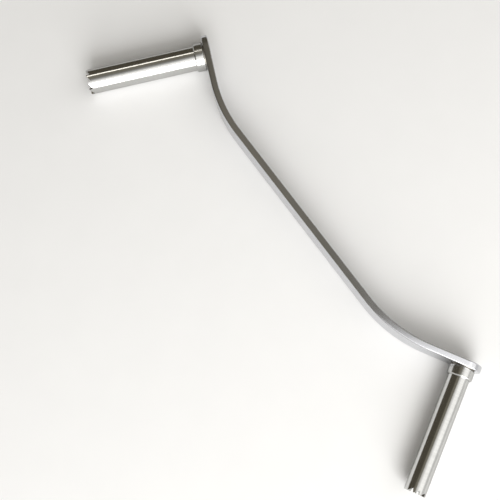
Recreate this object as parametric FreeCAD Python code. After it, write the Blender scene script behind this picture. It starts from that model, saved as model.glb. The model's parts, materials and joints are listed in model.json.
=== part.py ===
"""Double-ended toothed drill guide: a cranked flat bar with a crown-toothed sleeve brazed on at each end.

Millimetres, +Z up. The guide lies on its side, as it does on a tray: the bar stands on its narrow edge,
both sleeves lie level, and the X axis runs along the straight middle of the bar. The large sleeve is at
the -X end, the sleeves point towards -Y, and the origin is the middle of the edge that the bar stands on.
"""
import FreeCAD, Part
import math
import os

Vector = FreeCAD.Vector
UP = Vector(0, 0, 1)

# Bar: flat stock on edge, bent twice the same way, with full-round ends. Its middle line starts at MIDDLE.
BAR_THICKNESS = 2.7
BAR_WIDTH = 12.0
BAR_EDGE_RADIUS = 0.5
MIDDLE_HALF_LENGTH = 43.0
END_STRAIGHT_LENGTH = 15.0
MIDDLE = UP * (BAR_WIDTH / 2)
CUT_MARGIN = 1.0             # how far a cutting tool reaches past what it cuts

# Sleeves, measured from the face of the bar that they stand on to the tips of their teeth.
SLEEVE_LENGTH = 50.5
SPIGOT_STEP = 0.5            # how much smaller the spigot in the bar's eye is, in radius
MOUTH_CHAMFER = 0.3          # lead-in of the bore at the bar's outer face
TOOTH_COUNT = 10             # saw teeth round each crown
TOOTH_TIP_LAND = 0.2         # width of the flat on each tooth tip
TOOTH_STEEP_SHARE = 0.1      # the part of a tooth's pitch that its steep flank takes up

# Collars, each a ring around the root of its sleeve.
COLLAR_LENGTH = 4.3
COLLAR_ROOT_CHAMFER = 0.6    # beside the bar
COLLAR_TIP_CHAMFER = 0.45    # facing the teeth

# Braze metal.
COLLAR_BRAZE_LEG = 0.3       # fillet in the groove between the collar and the bar
EYE_BRAZE_LEG = 0.45         # ring in the countersink around the spigot's end
EYE_BRAZE_CROWN = 0.12       # how far that ring stands above the bar's face
EYE_BRAZE_FLAT_SHARE = 0.3   # the part of that ring's width that its flat crown takes up


class End:
    """One end of the guide: how its bar bends, and the sizes of its sleeve and collar."""

    def __init__(self, name, side, bend_radius, bend_deg, overhang, sizes, tooth_depth, turn_deg):
        self.name = name
        self.side = side                     # -1 towards -X, +1 towards +X
        self.bend_radius = bend_radius       # of the bar's middle line
        self.bend = math.radians(bend_deg)
        self.overhang = overhang             # from the sleeve's axis to the end of the bar
        self.tube_radius = sizes["tube"] / 2
        self.bore_radius = sizes["bore"] / 2
        self.collar_radius = sizes["collar"] / 2
        self.spigot_radius = self.tube_radius - SPIGOT_STEP
        self.tooth_depth = tooth_depth
        self.tooth_turn_deg = turn_deg       # of one tooth's tip, from straight up

        along_x = math.cos(self.bend)
        along_y = math.sin(self.bend)
        # unit directions: along the bar outwards, and out of the bar's face along the sleeve
        self.outwards = Vector(side * along_x, along_y, 0)
        self.down_sleeve = Vector(side * along_y, -along_x, 0)
        bend_end_x = MIDDLE_HALF_LENGTH + bend_radius * along_y
        bend_end_y = bend_radius * (1 - along_x)
        bend_end = MIDDLE + Vector(side * bend_end_x, bend_end_y, 0)
        self.eye = bend_end + self.outwards * END_STRAIGHT_LENGTH
        self.seat = self.eye + self.down_sleeve * (BAR_THICKNESS / 2)
        self.outer_face = self.eye - self.down_sleeve * (BAR_THICKNESS / 2)


LARGE = End("large", -1, 60.0, 23.4, 8.8, {"tube": 10.4, "bore": 8.2, "collar": 12.0}, 1.6, 28.5)
SMALL = End("small", +1, 56.0, 30.2, 6.7, {"tube": 8.3, "bore": 6.2, "collar": 9.8}, 1.4, -18.0)


def face_outline(offset):
    """Edges along one wide face of the bar, from the large end to the small one.

    offset is the distance from the bar's middle line towards the sleeves.
    """
    def point(end, angle, run):
        """A point at an angle round the bend, and then a run along the tangent."""
        radius = end.bend_radius + offset
        x = MIDDLE_HALF_LENGTH + radius * math.sin(angle) + run * math.cos(angle)
        y = end.bend_radius - radius * math.cos(angle) + run * math.sin(angle)
        return Vector(end.side * x, y, 0)

    def bend_arc(end):
        halfway = point(end, end.bend / 2, 0)
        return Part.Arc(point(end, 0, 0), halfway, point(end, end.bend, 0)).toShape()

    def end_line(end):
        tip = point(end, end.bend, END_STRAIGHT_LENGTH + end.overhang)
        return Part.makeLine(point(end, end.bend, 0), tip)

    middle = Part.makeLine(point(LARGE, 0, 0), point(SMALL, 0, 0))
    return [end_line(LARGE), bend_arc(LARGE), middle, bend_arc(SMALL), end_line(SMALL)]


def end_corners(end):
    """The two corners outside the full-round end, to be cut from the square-ended bar."""
    radius = BAR_WIDTH / 2
    beyond = radius + CUT_MARGIN
    depth = end.down_sleeve * (BAR_THICKNESS + 2 * CUT_MARGIN)
    centre = end.eye + end.outwards * (end.overhang - radius) - depth / 2
    block_corners = [centre + UP * beyond,
                     centre - UP * beyond,
                     centre - UP * beyond + end.outwards * beyond,
                     centre + UP * beyond + end.outwards * beyond]
    block = Part.Face(Part.makePolygon(block_corners + block_corners[:1])).extrude(depth)
    return block.cut(Part.makeCylinder(radius, depth.Length, centre, end.down_sleeve))


def long_edges(bar):
    """The edges that run round the outlines of the wide faces, without the seams across them."""
    def is_seam(edge):
        """True for the straight seams through the thickness and across the width."""
        if not isinstance(edge.Curve, Part.Line):
            return False
        through = math.isclose(edge.Length, BAR_THICKNESS, abs_tol=0.01)
        upright = abs(edge.tangentAt(edge.FirstParameter).z) > 0.9
        return through or upright

    return [edge for edge in bar.Edges if not is_seam(edge)]


def make_bar():
    """The bar, with softened edges and an eye with a countersunk outer mouth at each end."""
    near = face_outline(BAR_THICKNESS / 2)
    far = face_outline(-BAR_THICKNESS / 2)
    ends = []
    for index in (0, -1):
        near_tip = max(near[index].Vertexes, key=lambda v: abs(v.X)).Point
        far_tip = max(far[index].Vertexes, key=lambda v: abs(v.X)).Point
        ends.append(Part.makeLine(near_tip, far_tip))
    section = Part.Face(Part.Wire(Part.__sortEdges__(near + far + ends)))
    bar = section.extrude(UP * BAR_WIDTH)
    for end in (LARGE, SMALL):
        bar = bar.cut(end_corners(end))
    bar = bar.makeFillet(BAR_EDGE_RADIUS, long_edges(bar))
    for end in (LARGE, SMALL):
        hole_start = end.outer_face - end.down_sleeve * CUT_MARGIN
        hole_length = BAR_THICKNESS + 2 * CUT_MARGIN
        mouth_radius = end.spigot_radius + EYE_BRAZE_LEG
        hole = Part.makeCylinder(end.spigot_radius, hole_length, hole_start, end.down_sleeve)
        countersink = Part.makeCone(mouth_radius, end.spigot_radius, EYE_BRAZE_LEG,
                                    end.outer_face, end.down_sleeve)
        bar = bar.cut(hole).cut(countersink)
    return bar


def turned(end, points):
    """A solid of revolution about the sleeve's axis.

    Each point is (radius, distance along the sleeve from its seat on the bar). The last joins the first.
    """
    corners = [Vector(radius, 0, along) for radius, along in points]
    profile = Part.Face(Part.makePolygon(corners + corners[:1]))
    solid = profile.revolve(Vector(0, 0, 0), UP, 360)
    solid.Placement = sleeve_placement(end)
    return solid


def sleeve_placement(end):
    """Takes local Z down the sleeve's axis and keeps local Y upwards, from the sleeve's seat."""
    turn = FreeCAD.Rotation(UP.cross(end.down_sleeve), UP, end.down_sleeve, "ZYX")
    return FreeCAD.Placement(end.seat, turn)


def tooth_gap(end, index):
    """The gap after one saw tooth, a wedge that reaches from the axis out past the wall.

    Its long flank slopes from the tooth's tip down to the root, and its steep flank rises to the next tip.
    """
    half_pitch_deg = 180 / TOOTH_COUNT
    half_width = end.tube_radius * math.sin(math.radians(half_pitch_deg))
    tip = TOOTH_TIP_LAND - half_width
    root = half_width * (1 - 2 * TOOTH_STEEP_SHARE)
    bottom = SLEEVE_LENGTH - end.tooth_depth
    top = SLEEVE_LENGTH + CUT_MARGIN
    corners = [Vector(tip, 0, SLEEVE_LENGTH),
               Vector(root, 0, bottom),
               Vector(half_width, 0, SLEEVE_LENGTH),
               Vector(half_width, 0, top),
               Vector(tip, 0, top)]
    reach = Vector(0, end.tube_radius + CUT_MARGIN, 0)
    wedge = Part.Face(Part.makePolygon(corners + corners[:1])).extrude(reach)
    turn_deg = end.tooth_turn_deg + half_pitch_deg * (2 * index + 1)
    wedge.rotate(Vector(0, 0, 0), UP, -turn_deg)
    wedge.Placement = sleeve_placement(end).multiply(wedge.Placement)
    return wedge


def make_sleeve(end):
    """A thin tube: a spigot in the bar's eye, a shoulder on the bar, a through bore and a tooth crown."""
    outer_end = -BAR_THICKNESS
    sleeve = turned(end, [
        (end.bore_radius + MOUTH_CHAMFER, outer_end),
        (end.spigot_radius, outer_end),
        (end.spigot_radius, 0),
        (end.tube_radius, 0),
        (end.tube_radius, SLEEVE_LENGTH),
        (end.bore_radius, SLEEVE_LENGTH),
        (end.bore_radius, outer_end + MOUTH_CHAMFER),
    ])
    for index in range(TOOTH_COUNT):
        sleeve = sleeve.cut(tooth_gap(end, index))
    return sleeve


def make_collar(end):
    """The ring around the root of the sleeve, chamfered at both edges."""
    return turned(end, [
        (end.tube_radius, 0),
        (end.collar_radius - COLLAR_ROOT_CHAMFER, 0),
        (end.collar_radius, COLLAR_ROOT_CHAMFER),
        (end.collar_radius, COLLAR_LENGTH - COLLAR_TIP_CHAMFER),
        (end.collar_radius - COLLAR_TIP_CHAMFER, COLLAR_LENGTH),
        (end.tube_radius, COLLAR_LENGTH),
    ])


def make_collar_braze(end):
    """The braze fillet in the groove between the collar's root chamfer and the bar."""
    root = end.collar_radius - COLLAR_ROOT_CHAMFER
    return turned(end, [
        (root, 0),
        (root + COLLAR_BRAZE_LEG, 0),
        (root + COLLAR_BRAZE_LEG, COLLAR_BRAZE_LEG),
    ])


def make_eye_braze(end):
    """The braze ring that fills the countersink around the spigot's end, with a slight crown."""
    face = -BAR_THICKNESS
    inner = end.spigot_radius
    slope = EYE_BRAZE_LEG * (1 - EYE_BRAZE_FLAT_SHARE) / 2
    return turned(end, [
        (inner, face + EYE_BRAZE_LEG),
        (inner, face),
        (inner + slope, face - EYE_BRAZE_CROWN),
        (inner + EYE_BRAZE_LEG - slope, face - EYE_BRAZE_CROWN),
        (inner + EYE_BRAZE_LEG, face),
    ])


def make_nodes():
    """Every piece by name."""
    nodes = {"handle_bar": make_bar()}
    for end in (LARGE, SMALL):
        nodes[end.name + "_sleeve"] = make_sleeve(end)
        nodes[end.name + "_collar"] = make_collar(end)
        nodes[end.name + "_collar_braze"] = make_collar_braze(end)
        nodes[end.name + "_eye_braze"] = make_eye_braze(end)
    return nodes


def main():
    os.makedirs("parts", exist_ok=True)
    for name, shape in make_nodes().items():
        if not shape.isValid() or len(shape.Solids) != 1:
            raise RuntimeError(name + " is not one valid solid")
        shape.Solids[0].exportStep("parts/" + name + ".step")
        print(name, "volume", round(shape.Volume, 2))


main()
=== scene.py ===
import bmesh
import bpy
import json
import math
from mathutils import Matrix, Vector, noise


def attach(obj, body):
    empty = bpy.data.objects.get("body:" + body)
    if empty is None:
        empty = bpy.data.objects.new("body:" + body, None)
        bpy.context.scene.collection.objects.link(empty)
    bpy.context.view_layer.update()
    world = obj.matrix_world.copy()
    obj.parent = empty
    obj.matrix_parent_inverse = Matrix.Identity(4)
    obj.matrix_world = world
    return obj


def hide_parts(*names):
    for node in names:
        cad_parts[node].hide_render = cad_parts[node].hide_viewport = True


# Looks of the double-ended toothed drill guide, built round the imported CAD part. Metres, +Z up.
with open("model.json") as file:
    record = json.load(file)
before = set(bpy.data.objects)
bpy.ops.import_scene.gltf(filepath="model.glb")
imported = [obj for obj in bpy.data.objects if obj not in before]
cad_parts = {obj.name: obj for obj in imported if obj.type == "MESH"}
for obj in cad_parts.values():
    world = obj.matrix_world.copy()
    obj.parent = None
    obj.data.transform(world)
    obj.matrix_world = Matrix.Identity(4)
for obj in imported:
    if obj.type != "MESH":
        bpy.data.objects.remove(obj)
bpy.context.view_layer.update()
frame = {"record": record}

MM = 0.001
UP = Vector((0, 0, 1))
UV_SCALE = 0.01                # of the maps that give the metal its tangents, per millimetre

# Bar, in millimetres.
BAR_THICKNESS = 2.7
BAR_WIDTH = 12.0
BAR_EDGE_RADIUS = 0.5
MIDDLE_HALF_LENGTH = 43.0
END_STRAIGHT_LENGTH = 15.0

# Sleeves, collars and braze, in millimetres from the bar's face that they stand on.
SLEEVE_LENGTH = 50.5
SPIGOT_STEP = 0.5
MOUTH_CHAMFER = 0.3
TOOTH_COUNT = 10
TOOTH_TIP_LAND = 0.2
TOOTH_STEEP_SHARE = 0.1
TOOTH_BREAK = 0.06
COLLAR_LENGTH = 4.3
COLLAR_ROOT_CHAMFER = 0.6
COLLAR_TIP_CHAMFER = 0.45
COLLAR_CORNER_RADIUS = 0.12
COLLAR_SEAM_WIDTH = 0.06       # of the fine groove between the collar's tip face and the tube
COLLAR_SEAM_DEPTH = 0.1
COLLAR_BRAZE_LEG = 0.3
COLLAR_BRAZE_WAIST = 0.95      # how far the fillet's hollow outer side reaches, as a share of its leg
EYE_BRAZE_LEG = 0.45
EYE_BRAZE_CROWN = 0.09
BRAZE_WOBBLE = 0.02
BRAZE_WOBBLE_SCALE = 1.3
BRAZE_WOBBLE_SHIFT = 7.0       # keeps the two ends' wobbles apart
BRAZE_WOBBLE_SEED = 1
noise.seed_set(BRAZE_WOBBLE_SEED)      # otherwise noise_vector is seeded from the clock

# How finely the meshes are cut.
EYE_PATCH_REACH = 8.0          # from the eye back to where its ring of faces meets the bar's plain strip
BAR_ROWS = 12
BAR_COLUMNS = 150
BAR_EDGE_STEPS = 5
EYE_STRAIGHT_STEPS = 12
EYE_CURVE_STEPS = 36
EYE_RING_SHARES = (0.0, 0.12, 0.3, 0.55, 0.8, 1.0)
TUBE_ROW_SPACING = 4.0
TUBE_ROW_MARGIN = 1.0          # the least distance between a plain row and the rows at the tube's ends
TUBE_ROW_BELOW_TEETH = 0.25
TOOTH_FLANK_STEPS = 6
RING_ANGLES = 96
COLLAR_CORNER_STEPS = 3
EYE_BRAZE_STEPS = 6


class End:
    """One end of the guide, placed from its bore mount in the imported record."""

    def __init__(self, name, side, bend_radius, bend_deg, overhang, sizes, tooth_depth, tooth_turn_deg):
        self.name = name
        self.side = side                       # -1 towards -X, +1 towards +X
        self.bend_radius = bend_radius
        self.bend = math.radians(bend_deg)
        self.overhang = overhang               # from the sleeve's axis to the end of the bar
        self.tube_radius = sizes["tube"] / 2
        self.bore_radius = sizes["bore"] / 2
        self.collar_radius = sizes["collar"] / 2
        self.spigot_radius = self.tube_radius - SPIGOT_STEP
        self.tooth_depth = tooth_depth
        self.tooth_turn = math.radians(tooth_turn_deg)
        self.eye_run = MIDDLE_HALF_LENGTH + bend_radius * self.bend + END_STRAIGHT_LENGTH
        mounts = frame["record"]["mounts"]
        mount = next(m for m in mounts if m["name"] == name + "_guide_bore")
        self.down = -Vector(mount["axis"]).normalized()
        bore_start = -BAR_THICKNESS + MOUTH_CHAMFER
        bore_end = SLEEVE_LENGTH - tooth_depth
        seat = Vector(mount["pos_m"]) - self.down * ((bore_start + bore_end) / 2 * MM)
        axes = Matrix((UP.cross(self.down), UP, self.down)).transposed().to_4x4()
        self.place = Matrix.Translation(seat) @ axes


LARGE = End("large", -1, 60.0, 23.4, 8.8, {"tube": 10.4, "bore": 8.2, "collar": 12.0}, 1.6, 28.5)
SMALL = End("small", +1, 56.0, 30.2, 6.7, {"tube": 8.3, "bore": 6.2, "collar": 9.8}, 1.4, -18.0)
ENDS = (LARGE, SMALL)


def finish_mesh(name, bm, grain, replaced, sharp_deg, material):
    """Makes the piece. grain holds a vector in millimetres for each vertex, for the metal's texture."""
    for edge in bm.edges:
        joined = len(edge.link_faces) == 2
        edge.smooth = not (joined and edge.calc_face_angle() > math.radians(sharp_deg))
    for face in bm.faces:
        face.smooth = True
    mesh = bpy.data.meshes.new(name)
    bm.to_mesh(mesh)
    bm.free()
    attribute = mesh.attributes.new("grain", "FLOAT_VECTOR", "POINT")
    attribute.data.foreach_set("vector", [c for vector in grain for c in vector])
    piece = bpy.data.objects.new(name, mesh)
    bpy.context.scene.collection.objects.link(piece)
    mesh.materials.append(material)
    weighted = piece.modifiers.new("even_normals", "WEIGHTED_NORMAL")
    weighted.keep_sharp = True
    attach(piece, "root")
    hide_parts(replaced)
    return piece


# ---------------------------------------------------------------- bar

def bent(s, z, n):
    """Row-frame point, in metres, of a point of the flat bar.

    s runs along the middle line, z across the width from its middle, and n from the middle line towards
    the sleeves.
    """
    end = SMALL if s > 0 else LARGE
    run = abs(s) - MIDDLE_HALF_LENGTH
    angle = min(max(run / end.bend_radius, 0.0), end.bend)
    run = run if run < 0 else max(run - end.bend_radius * end.bend, 0.0)
    radius = end.bend_radius + n
    x = MIDDLE_HALF_LENGTH + radius * math.sin(angle) + run * math.cos(angle)
    y = end.bend_radius - radius * math.cos(angle) + (run * math.sin(angle) if run > 0 else 0.0)
    return Vector((end.side * x, y, z + BAR_WIDTH / 2)) * MM


def build_bar(material):
    """The bar, made flat in (s, z, n) and then bent."""
    half_n = BAR_THICKNESS / 2
    inset = BAR_WIDTH / 2 - BAR_EDGE_RADIUS
    zs = [-inset + 2 * inset * i / BAR_ROWS for i in range(BAR_ROWS + 1)]
    cut_large = -(LARGE.eye_run - EYE_PATCH_REACH)
    cut_small = SMALL.eye_run - EYE_PATCH_REACH
    strip_length = cut_small - cut_large
    columns = [cut_large + strip_length * i / BAR_COLUMNS for i in range(BAR_COLUMNS + 1)]

    bm = bmesh.new()
    uv = bm.loops.layers.uv.new("UVMap")
    flat = {}

    def vert(s, z, n):
        """The vertex at this place, made only once."""
        key = (round(s, 4), round(z, 4), round(n, 4))
        if key not in flat:
            flat[key] = bm.verts.new((s, z, n))
        return flat[key]

    def quad(points, uvs, flip):
        """A face, or a triangle where two of its points are one."""
        verts = []
        coords = []
        for point, coord in zip(points, uvs):
            v = vert(*point)
            if v not in verts:
                verts.append(v)
                coords.append(coord)
        if len(verts) < 3:
            return
        if flip:
            verts.reverse()
            coords.reverse()
        face = bm.faces.new(verts)
        for loop, coord in zip(face.loops, coords):
            loop[uv].uv = (coord[0] * UV_SCALE, coord[1] * UV_SCALE)

    def face_quad(four, n, flip):
        quad([(s, z, n) for s, z in four], [(z, s) for s, z in four], flip)

    # wide faces: the strip between the two eye patches
    for n, flip in ((half_n, False), (-half_n, True)):
        for a, b in zip(columns[:-1], columns[1:]):
            for low, high in zip(zs[:-1], zs[1:]):
                face_quad([(a, low), (b, low), (b, high), (a, high)], n, flip)

    # the outline of a wide face, all round: (s, z, outward s, outward z)
    outline = [(s, -inset, 0.0, -1.0) for s in columns]
    for end, cut in ((SMALL, cut_small), (LARGE, cut_large)):
        side = end.side
        arc_centre = side * (end.eye_run + end.overhang - BAR_WIDTH / 2)
        straight = EYE_STRAIGHT_STEPS
        half = []
        for i in range(straight):
            half.append((cut + (arc_centre - cut) * i / straight, -side * inset, 0.0, -side * 1.0))
        for i in range(EYE_CURVE_STEPS + 1):
            turn = -math.pi / 2 + math.pi * i / EYE_CURVE_STEPS
            out = (side * math.cos(turn), side * math.sin(turn))
            half.append((arc_centre + inset * out[0], inset * out[1], out[0], out[1]))
        for i in range(1, straight + 1):
            half.append((arc_centre + (cut - arc_centre) * i / straight, side * inset, 0.0, side * 1.0))
        # the patch's whole boundary: the outline part, then back down the cut line
        boundary = [(s, z) for s, z, _, _ in half]
        boundary += [(cut, side * z) for z in reversed(zs[1:-1])]
        eye = side * end.eye_run
        mouth_radius = end.spigot_radius + EYE_BRAZE_LEG

        def on_hole(point, radius):
            """Where the line from the eye's centre to a point of the boundary crosses the hole."""
            s, z = point
            reach = math.hypot(s - eye, z)
            return eye + (s - eye) / reach * radius, z / reach * radius

        for n, radius, mirror in ((half_n, end.spigot_radius, False), (-half_n, mouth_radius, True)):
            rings = []
            for share in EYE_RING_SHARES:
                ring = []
                for s, z in boundary:
                    hole = on_hole((s, z), radius)
                    ring.append((hole[0] + (s - hole[0]) * share, hole[1] + (z - hole[1]) * share))
                rings.append(ring)
            for inner, outer in zip(rings[:-1], rings[1:]):
                for i in range(len(boundary)):
                    j = (i + 1) % len(boundary)
                    face_quad([inner[i], outer[i], outer[j], inner[j]], n, mirror)
        # the eye's wall, with its countersink on the outer face
        wall = ((half_n, end.spigot_radius), (-half_n + EYE_BRAZE_LEG, end.spigot_radius),
                (-half_n, mouth_radius))
        for i in range(len(boundary)):
            j = (i + 1) % len(boundary)
            for (n_a, r_a), (n_b, r_b) in zip(wall[:-1], wall[1:]):
                four = []
                for index, n, radius in ((i, n_a, r_a), (j, n_a, r_a), (j, n_b, r_b), (i, n_b, r_b)):
                    four.append((*on_hole(boundary[index], radius), n))
                quad(four, [(p[2], p[1]) for p in four], False)
        outline += half[1:-1]
        if end is SMALL:
            outline += [(s, inset, 0.0, 1.0) for s in reversed(columns)]

    # the rim, with its two rounded edges
    profile = []
    for i in range(BAR_EDGE_STEPS + 1):
        angle = math.pi / 2 * i / BAR_EDGE_STEPS
        drop = BAR_EDGE_RADIUS * (1 - math.cos(angle))
        profile.append((BAR_EDGE_RADIUS * math.sin(angle), half_n - drop))
    profile += [(out, -n) for out, n in reversed(profile)]
    lengths = [0.0]
    for a, b in zip(outline, outline[1:] + outline[:1]):
        lengths.append(lengths[-1] + math.hypot(b[0] - a[0], b[1] - a[1]))
    for i, a in enumerate(outline):
        b = outline[(i + 1) % len(outline)]
        for (out_a, n_a), (out_b, n_b) in zip(profile[:-1], profile[1:]):
            four = [(a[0] + a[2] * out_a, a[1] + a[3] * out_a, n_a),
                    (a[0] + a[2] * out_b, a[1] + a[3] * out_b, n_b),
                    (b[0] + b[2] * out_b, b[1] + b[3] * out_b, n_b),
                    (b[0] + b[2] * out_a, b[1] + b[3] * out_a, n_a)]
            start, stop = lengths[i], lengths[i + 1]
            quad(four, [(n_a, start), (n_b, start), (n_b, stop), (n_a, stop)], False)

    bmesh.ops.recalc_face_normals(bm, faces=bm.faces)
    grain = [v.co.copy() for v in bm.verts]
    for v in bm.verts:
        v.co = bent(*v.co)
    bmesh.ops.recalc_face_normals(bm, faces=bm.faces)
    return finish_mesh("brushed_bar", bm, grain, "handle_bar", 50, material)


# ---------------------------------------------------------------- turned pieces

def turned(name, end, rows, angles, replaced, sharp_deg, material, wobble=0.0):
    """A closed ring about the sleeve's axis. Each row is (radius, along), or has one along for each angle."""
    bm = bmesh.new()
    uv = bm.loops.layers.uv.new("UVMap")
    grain = []
    grid = []
    for row_index, (radius, along) in enumerate(rows):
        line = []
        for i, angle in enumerate(angles):
            height = along[i] if isinstance(along, list) else along
            spot = Vector((math.sin(angle) * radius, math.cos(angle) * radius, height))
            if wobble:
                shift = Vector((row_index, end.side * BRAZE_WOBBLE_SHIFT, 0))
                spot += wobble * noise.noise_vector(spot * BRAZE_WOBBLE_SCALE + shift)
            line.append(bm.verts.new(end.place @ (spot * MM)))
            grain.append(spot)
        grid.append(line)
    section = [(radius, along[0] if isinstance(along, list) else along) for radius, along in rows]
    girth = [0.0]
    for (r_a, a_a), (r_b, a_b) in zip(section, section[1:] + section[:1]):
        girth.append(girth[-1] + math.hypot(r_b - r_a, a_b - a_a))
    count = len(angles)
    for r, (line_a, line_b) in enumerate(zip(grid, grid[1:] + grid[:1])):
        for i in range(count):
            j = (i + 1) % count
            face = bm.faces.new((line_a[i], line_a[j], line_b[j], line_b[i]))
            low, high = girth[r], girth[r + 1]
            start = angles[i]
            stop = start + (angles[j] - start) % (2 * math.pi)
            coords = ((low, start), (low, stop), (high, stop), (high, start))
            for loop, (u, v) in zip(face.loops, coords):
                loop[uv].uv = (u * UV_SCALE, v * end.tube_radius * UV_SCALE)
    bmesh.ops.recalc_face_normals(bm, faces=bm.faces)
    return finish_mesh(name, bm, grain, replaced, sharp_deg, material)


def ring_angles():
    return [2 * math.pi * i / RING_ANGLES for i in range(RING_ANGLES)]


def build_sleeve(end, material):
    """The tube with its crown of saw teeth: a long flank down from each tip, then a steep one up."""
    half_width = end.tube_radius * math.sin(math.pi / TOOTH_COUNT)
    land = TOOTH_TIP_LAND / (2 * half_width)
    root = 1 - TOOTH_STEEP_SHARE
    steps = TOOTH_FLANK_STEPS
    shares = [0.0] + [land + (root - land) * i / steps for i in range(steps + 1)]
    pitch = 2 * math.pi / TOOTH_COUNT
    angles = []
    crown = []
    for tooth in range(TOOTH_COUNT):
        for share in shares:
            angles.append(end.tooth_turn + pitch * (tooth + share))
            crown.append(SLEEVE_LENGTH - end.tooth_depth * max(share - land, 0.0) / (root - land))
    broken = [height - TOOTH_BREAK for height in crown]
    outer, inner, spigot = end.tube_radius, end.bore_radius, end.spigot_radius
    below_teeth = SLEEVE_LENGTH - end.tooth_depth - TUBE_ROW_BELOW_TEETH
    outer_end = -BAR_THICKNESS
    rows = [(outer, 0.0)]
    along = TUBE_ROW_SPACING
    while along < below_teeth - TUBE_ROW_MARGIN:
        rows.append((outer, along))
        along += TUBE_ROW_SPACING
    rows += [(outer, below_teeth), (outer, broken), (outer - TOOTH_BREAK, crown),
             (inner + TOOTH_BREAK, crown), (inner, broken), (inner, below_teeth)]
    along = below_teeth - TUBE_ROW_SPACING
    while along > outer_end + MOUTH_CHAMFER + TUBE_ROW_MARGIN:
        rows.append((inner, along))
        along -= TUBE_ROW_SPACING
    rows += [(inner, outer_end + MOUTH_CHAMFER), (inner + MOUTH_CHAMFER, outer_end),
             (spigot - TOOTH_BREAK, outer_end), (spigot, outer_end + TOOTH_BREAK), (spigot, 0.0)]
    return turned("turned_sleeve_" + end.name, end, rows, angles,
                  end.name + "_sleeve", 28, material)


def rounded_corner(before, corner, after, radius):
    """Points of a small arc in place of a profile's corner."""
    before, corner, after = Vector(before), Vector(corner), Vector(after)
    to_before = (before - corner).normalized()
    to_after = (after - corner).normalized()
    start = corner + to_before * radius
    stop = corner + to_after * radius
    points = []
    for i in range(COLLAR_CORNER_STEPS + 1):
        t = i / COLLAR_CORNER_STEPS
        points.append(tuple((1 - t) ** 2 * start + 2 * t * (1 - t) * corner + t ** 2 * stop))
    return points


def build_collar(end, material):
    """The ring round the tube's root, with a fine seam where it meets the tube."""
    outer = end.collar_radius
    corners = [(end.tube_radius, 0.0),
               (outer - COLLAR_ROOT_CHAMFER, 0.0),
               (outer, COLLAR_ROOT_CHAMFER),
               (outer, COLLAR_LENGTH - COLLAR_TIP_CHAMFER),
               (outer - COLLAR_TIP_CHAMFER, COLLAR_LENGTH),
               (end.tube_radius + COLLAR_SEAM_WIDTH, COLLAR_LENGTH)]
    rows = [corners[0]]
    for i in range(1, len(corners) - 1):
        rows += rounded_corner(corners[i - 1], corners[i], corners[i + 1], COLLAR_CORNER_RADIUS)
    rows += [corners[-1], (end.tube_radius, COLLAR_LENGTH - COLLAR_SEAM_DEPTH)]
    return turned("turned_collar_" + end.name, end, rows, ring_angles(),
                  end.name + "_collar", 50, material)


def build_collar_braze(end, material):
    """The fillet in the groove between the collar's root chamfer and the bar. Its dark braze colour is
    painted shade standing in for the shaded gap there.
    """
    root = end.collar_radius - COLLAR_ROOT_CHAMFER
    leg = COLLAR_BRAZE_LEG
    half = leg / 2
    rows = [(root, 0.0), (root + leg, 0.0), (root + leg * COLLAR_BRAZE_WAIST, half), (root + leg, leg),
            (root + half, half)]
    return turned("braze_fillet_" + end.name, end, rows, ring_angles(),
                  end.name + "_collar_braze", 60, material, wobble=BRAZE_WOBBLE)


def build_eye_braze(end, material):
    """The ring that fills the countersink round the spigot's end, with a low crown."""
    inner = end.spigot_radius
    leg = EYE_BRAZE_LEG
    face = -BAR_THICKNESS
    rows = [(inner, face + leg), (inner, face)]
    for i in range(1, EYE_BRAZE_STEPS):
        share = i / EYE_BRAZE_STEPS
        rows.append((inner + leg * share, face - EYE_BRAZE_CROWN * math.sin(math.pi * share)))
    rows.append((inner + leg, face))
    return turned("braze_ring_" + end.name, end, rows, ring_angles(),
                  end.name + "_eye_braze", 70, material, wobble=BRAZE_WOBBLE)


# ---------------------------------------------------------------- metals

SMUDGE_SCALE = (0.12, 0.12, 0.12)
STREAK_SHARE = 0.6             # of the streaks in the colour; the smudges have the rest


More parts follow.
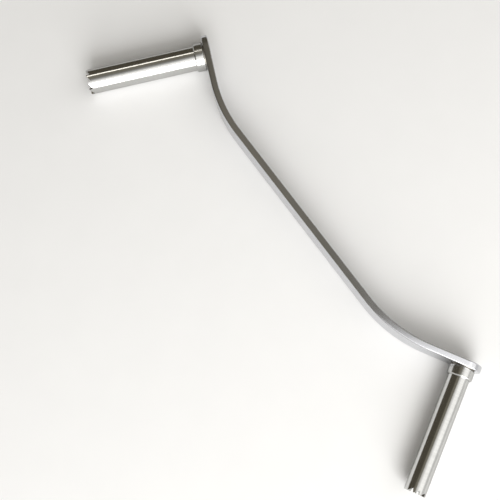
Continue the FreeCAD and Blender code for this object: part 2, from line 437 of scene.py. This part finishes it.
def steel(name, base, dark, fine_scale, streak_scale, rough, anisotropy, bump_height, edge_tint):
    """Brushed or turned metal. The scales stretch the grain vector, per millimetre."""
    material = bpy.data.materials.new(name)
    material.use_nodes = True
    tree = material.node_tree
    nodes, links = tree.nodes, tree.links
    shader = nodes["Principled BSDF"]
    shader.inputs["Metallic"].default_value = 1.0
    shader.inputs["Anisotropic"].default_value = anisotropy
    shader.inputs["Specular Tint"].default_value = (edge_tint, edge_tint, edge_tint, 1)

    grain = nodes.new("ShaderNodeAttribute")
    grain.attribute_name = "grain"

    def scaled_noise(scale, detail, roughness, distortion=0.0):
        mapping = nodes.new("ShaderNodeMapping")
        mapping.inputs["Scale"].default_value = scale
        links.new(grain.outputs["Vector"], mapping.inputs["Vector"])
        texture = nodes.new("ShaderNodeTexNoise")
        texture.inputs["Scale"].default_value = 1.0
        texture.inputs["Detail"].default_value = detail
        texture.inputs["Roughness"].default_value = roughness
        texture.inputs["Distortion"].default_value = distortion
        links.new(mapping.outputs["Vector"], texture.inputs["Vector"])
        return texture.outputs["Fac"]

    def ranged(value, low, high, to_low, to_high):
        node = nodes.new("ShaderNodeMapRange")
        node.inputs["From Min"].default_value = low
        node.inputs["From Max"].default_value = high
        node.inputs["To Min"].default_value = to_low
        node.inputs["To Max"].default_value = to_high
        links.new(value, node.inputs["Value"])
        return node.outputs["Result"]

    def combined(operation, a, b):
        node = nodes.new("ShaderNodeMath")
        node.operation = operation
        for value, socket in ((a, node.inputs[0]), (b, node.inputs[1])):
            if isinstance(value, float):
                socket.default_value = value
            else:
                links.new(value, socket)
        return node.outputs["Value"]

    fine = scaled_noise(fine_scale, 3.0, 0.6)
    streaks = scaled_noise(streak_scale, 4.0, 0.6)
    smudges = scaled_noise(SMUDGE_SCALE, 3.0, 0.5, 0.4)

    shade = combined("ADD", combined("MULTIPLY", streaks, STREAK_SHARE),
                     combined("MULTIPLY", smudges, 1.0 - STREAK_SHARE))
    colour = nodes.new("ShaderNodeMix")
    colour.data_type = "RGBA"
    colour.inputs["A"].default_value = (*dark, 1)
    colour.inputs["B"].default_value = (*base, 1)
    links.new(ranged(shade, 0.32, 0.68, 0.0, 1.0), colour.inputs["Factor"])
    links.new(colour.outputs["Result"], shader.inputs["Base Color"])

    uneven = combined("ADD", combined("MULTIPLY", fine, 0.5), combined("MULTIPLY", smudges, 0.5))
    links.new(ranged(uneven, 0.3, 0.7, rough[0], rough[1]), shader.inputs["Roughness"])

    bump = nodes.new("ShaderNodeBump")
    bump.inputs["Strength"].default_value = 1.0
    bump.inputs["Distance"].default_value = bump_height * MM
    links.new(combined("ADD", fine, streaks), bump.inputs["Height"])
    links.new(bump.outputs["Normal"], shader.inputs["Normal"])

    tangent = nodes.new("ShaderNodeTangent")
    tangent.direction_type = "UV_MAP"
    tangent.uv_map = "UVMap"
    links.new(tangent.outputs["Tangent"], shader.inputs["Tangent"])
    return material


bar_steel = steel("bar_steel", base=(0.62, 0.625, 0.65), dark=(0.54, 0.545, 0.565),
                  fine_scale=(0.12, 9.0, 9.0), streak_scale=(0.02, 1.6, 1.6),
                  rough=(0.15, 0.23), anisotropy=0.6, bump_height=0.0012, edge_tint=0.95)
sleeve_steel = steel("sleeve_steel", base=(0.63, 0.63, 0.62), dark=(0.57, 0.57, 0.56),
                     fine_scale=(0.5, 0.5, 9.0), streak_scale=(0.15, 0.15, 1.5),
                     rough=(0.13, 0.20), anisotropy=0.6, bump_height=0.0008, edge_tint=0.5)
collar_steel = steel("collar_steel", base=(0.63, 0.63, 0.62), dark=(0.55, 0.55, 0.54),
                     fine_scale=(0.4, 0.4, 7.0), streak_scale=(0.12, 0.12, 2.2),
                     rough=(0.17, 0.26), anisotropy=0.6, bump_height=0.0012, edge_tint=0.5)
# The braze's dark base colours are painted shade for the shaded gap between the collar and the bar. The ring
# in the eye's countersink takes the same dark colour.
braze_metal = steel("braze_metal", base=(0.36, 0.335, 0.29), dark=(0.22, 0.20, 0.17),
                    fine_scale=(3.0, 3.0, 3.0), streak_scale=(0.9, 0.9, 0.9),
                    rough=(0.35, 0.50), anisotropy=0.0, bump_height=0.006, edge_tint=0.6)

bar = build_bar(bar_steel)
sleeves = {}
collars = {}
for end in ENDS:
    sleeves[end.name] = build_sleeve(end, sleeve_steel)
    collars[end.name] = build_collar(end, collar_steel)
    build_collar_braze(end, braze_metal)
    build_eye_braze(end, braze_metal)


# ---------------------------------------------------------------- stage

FLOOR_REACH = 0.9
BACKDROP_GREY = 0.8


def build_floor():
    """A flat sheet of white paper that fills the main view."""
    bm = bmesh.new()
    bmesh.ops.create_grid(bm, x_segments=8, y_segments=8, size=FLOOR_REACH)
    mesh = bpy.data.meshes.new("paper_floor")
    bm.to_mesh(mesh)
    bm.free()
    floor = bpy.data.objects.new("paper_floor", mesh)
    bpy.context.scene.collection.objects.link(floor)
    material = bpy.data.materials.new("paper")
    material.use_nodes = True
    nodes, links = material.node_tree.nodes, material.node_tree.links
    shader = nodes["Principled BSDF"]
    shader.inputs["Roughness"].default_value = 0.9
    shader.inputs["Specular IOR Level"].default_value = 0.1
    place = nodes.new("ShaderNodeNewGeometry")
    fibre = nodes.new("ShaderNodeTexNoise")
    fibre.inputs["Scale"].default_value = 60.0
    fibre.inputs["Detail"].default_value = 5.0
    links.new(place.outputs["Position"], fibre.inputs["Vector"])
    tint = nodes.new("ShaderNodeMix")
    tint.data_type = "RGBA"
    tint.inputs["A"].default_value = (0.84, 0.84, 0.84, 1)
    tint.inputs["B"].default_value = (0.87, 0.87, 0.87, 1)
    links.new(fibre.outputs["Fac"], tint.inputs["Factor"])
    links.new(tint.outputs["Result"], shader.inputs["Base Color"])
    mesh.materials.append(material)


def panel(name, centre, aim, along, width, height, radiance, colour):
    """A soft rectangular light at centre that faces aim, with its height towards along."""
    data = bpy.data.lights.new(name, "AREA")
    data.shape = "RECTANGLE"
    data.size = width
    data.size_y = height
    data.energy = radiance * math.pi * width * height
    data.color = colour
    light = bpy.data.objects.new(name, data)
    bpy.context.scene.collection.objects.link(light)
    light.location = centre
    back = (Vector(centre) - Vector(aim)).normalized()
    across = Vector(along).cross(back).normalized()
    light.rotation_euler = Matrix((across, back.cross(across), back)).transposed().to_euler()
    light.visible_camera = False
    return light


def shine_on(light, *pieces):
    """Keeps a small accent light to the pieces named."""
    group = bpy.data.collections.new(light.name + "_lit")
    for piece in pieces:
        group.objects.link(piece)
    light.light_linking.receiver_collection = group


def build_world():
    """A dim room, darker and warm towards -X. What the camera sees of it directly is plain pale grey."""
    world = bpy.data.worlds.new("room")
    bpy.context.scene.world = world
    world.use_nodes = True
    nodes, links = world.node_tree.nodes, world.node_tree.links
    background = nodes["Background"]
    where = nodes.new("ShaderNodeTexCoord")
    split = nodes.new("ShaderNodeSeparateXYZ")
    links.new(where.outputs["Generated"], split.inputs["Vector"])
    span = nodes.new("ShaderNodeMapRange")
    span.inputs["From Min"].default_value = -1.0
    span.inputs["From Max"].default_value = 1.0
    links.new(split.outputs["X"], span.inputs["Value"])
    ramp = nodes.new("ShaderNodeValToRGB")
    ramp.color_ramp.interpolation = "EASE"
    stops = ((0.26, (0.095, 0.084, 0.063)),
             (0.32, (0.24, 0.22, 0.175)),
             (0.44, (0.225, 0.21, 0.17)),
             (0.52, (0.27, 0.26, 0.24)),
             (0.66, (0.85, 0.84, 0.82)))
    elements = ramp.color_ramp.elements
    while len(elements) < len(stops):
        elements.new(0.5)
    for element, (position, colour) in zip(elements, stops):
        element.position = position
        element.color = (*colour, 1)
    links.new(span.outputs["Result"], ramp.inputs["Fac"])
    seen = nodes.new("ShaderNodeLightPath")
    mix = nodes.new("ShaderNodeMix")
    mix.data_type = "RGBA"
    mix.inputs["B"].default_value = (BACKDROP_GREY, BACKDROP_GREY, BACKDROP_GREY, 1)
    links.new(seen.outputs["Is Camera Ray"], mix.inputs["Factor"])
    links.new(ramp.outputs["Color"], mix.inputs["A"])
    links.new(mix.outputs["Result"], background.inputs["Color"])


def build_camera():
    data = bpy.data.cameras.new("camera")
    data.sensor_width = 36.0
    data.lens = 57.25
    data.clip_start = 0.01
    data.clip_end = 20.0
    camera = bpy.data.objects.new("camera", data)
    bpy.context.scene.collection.objects.link(camera)
    camera.location = (0.06589, -0.05516, 0.31601)
    camera.rotation_euler = (math.radians(13.09), math.radians(2.652), math.radians(54.133))
    bpy.context.scene.camera = camera


build_floor()
build_world()
panel("ceiling_light", (0.415, 0.20, 0.45), aim=(0.415, 0.20, 0.0), along=(0, 1, 0),
      width=0.70, height=1.0, radiance=0.60, colour=(1.0, 0.99, 0.97))
panel("window_light", (0.815, -0.339, 0.423), aim=(0.0, 0.0, 0.0), along=UP,
      width=0.715, height=0.865, radiance=6.3, colour=(1.0, 0.996, 0.985))
# the thin streak along the large tube
lamp = panel("lamp_strip", (-0.360, -0.012, 0.45), aim=(-0.10, -0.03, 0.0), along=(0.397, 0.918, 0),
             width=0.050, height=0.34, radiance=2.9, colour=(1.0, 0.96, 0.88))
shine_on(lamp, sleeves["large"], collars["large"])
# the pale top of the bar at the small end
glow = panel("bar_end_glow", (0.155, 0.10, 0.42), aim=(0.155, 0.10, 0.0), along=(0, 1, 0),
             width=0.20, height=0.70, radiance=0.60, colour=(0.97, 0.98, 1.0))
shine_on(glow, bar)
build_camera()
bpy.context.scene.view_settings.view_transform = "Standard"
